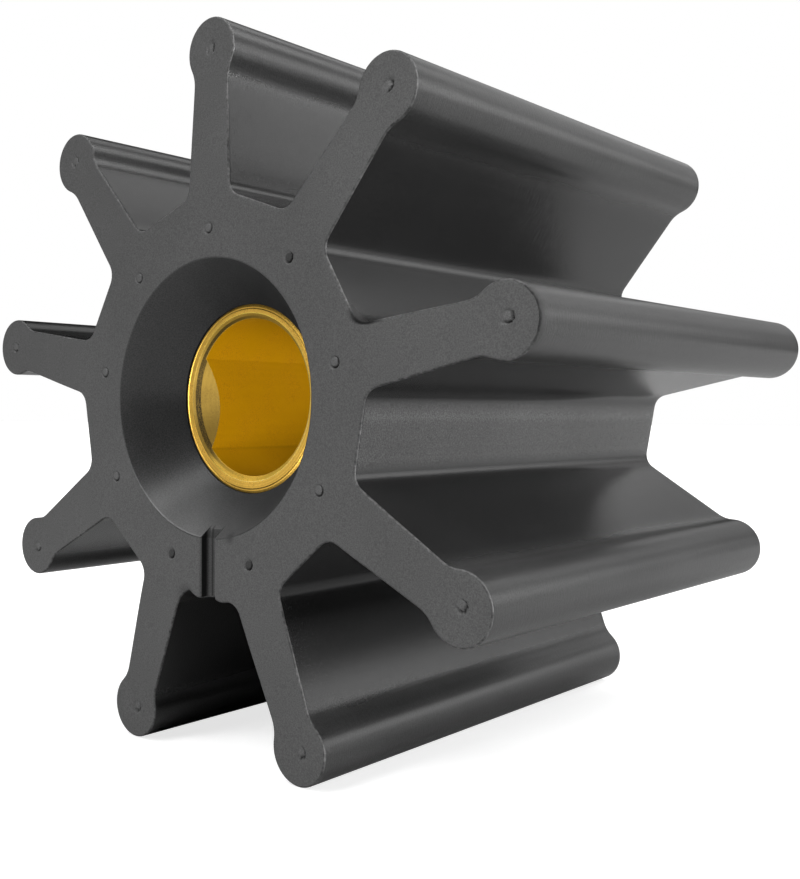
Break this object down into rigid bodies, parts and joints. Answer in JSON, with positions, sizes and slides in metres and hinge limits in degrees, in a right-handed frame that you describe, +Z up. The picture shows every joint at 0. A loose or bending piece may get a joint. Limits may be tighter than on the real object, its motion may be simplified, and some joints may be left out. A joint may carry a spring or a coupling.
{
  "type": "rubber pump impeller",
  "caption": "Flexible rubber pump impeller: radial vanes with rounded bulb tips on a hub moulded round a brass bush, with a D-shaped shaft bore and a funnel-shaped front recess.",
  "frame": {"origin": "on the shaft axis, midway between the front and rear faces", "axes": "+Y along the shaft axis from the recessed front face to the plain rear face, +Z up through the first vane, +X to the right as seen from the front"},
  "size_m": [0.0936, 0.0716, 0.0924],
  "materials": {
    "rubber": "matt black moulded rubber, satin on the vanes' sides",
    "brass": "turned brass, satin and lightly toned"
  },
  "bodies": {
    "root": {"rubber_rotor": "rubber", "brass_bush": "brass"}
  },
  "joints": []
}
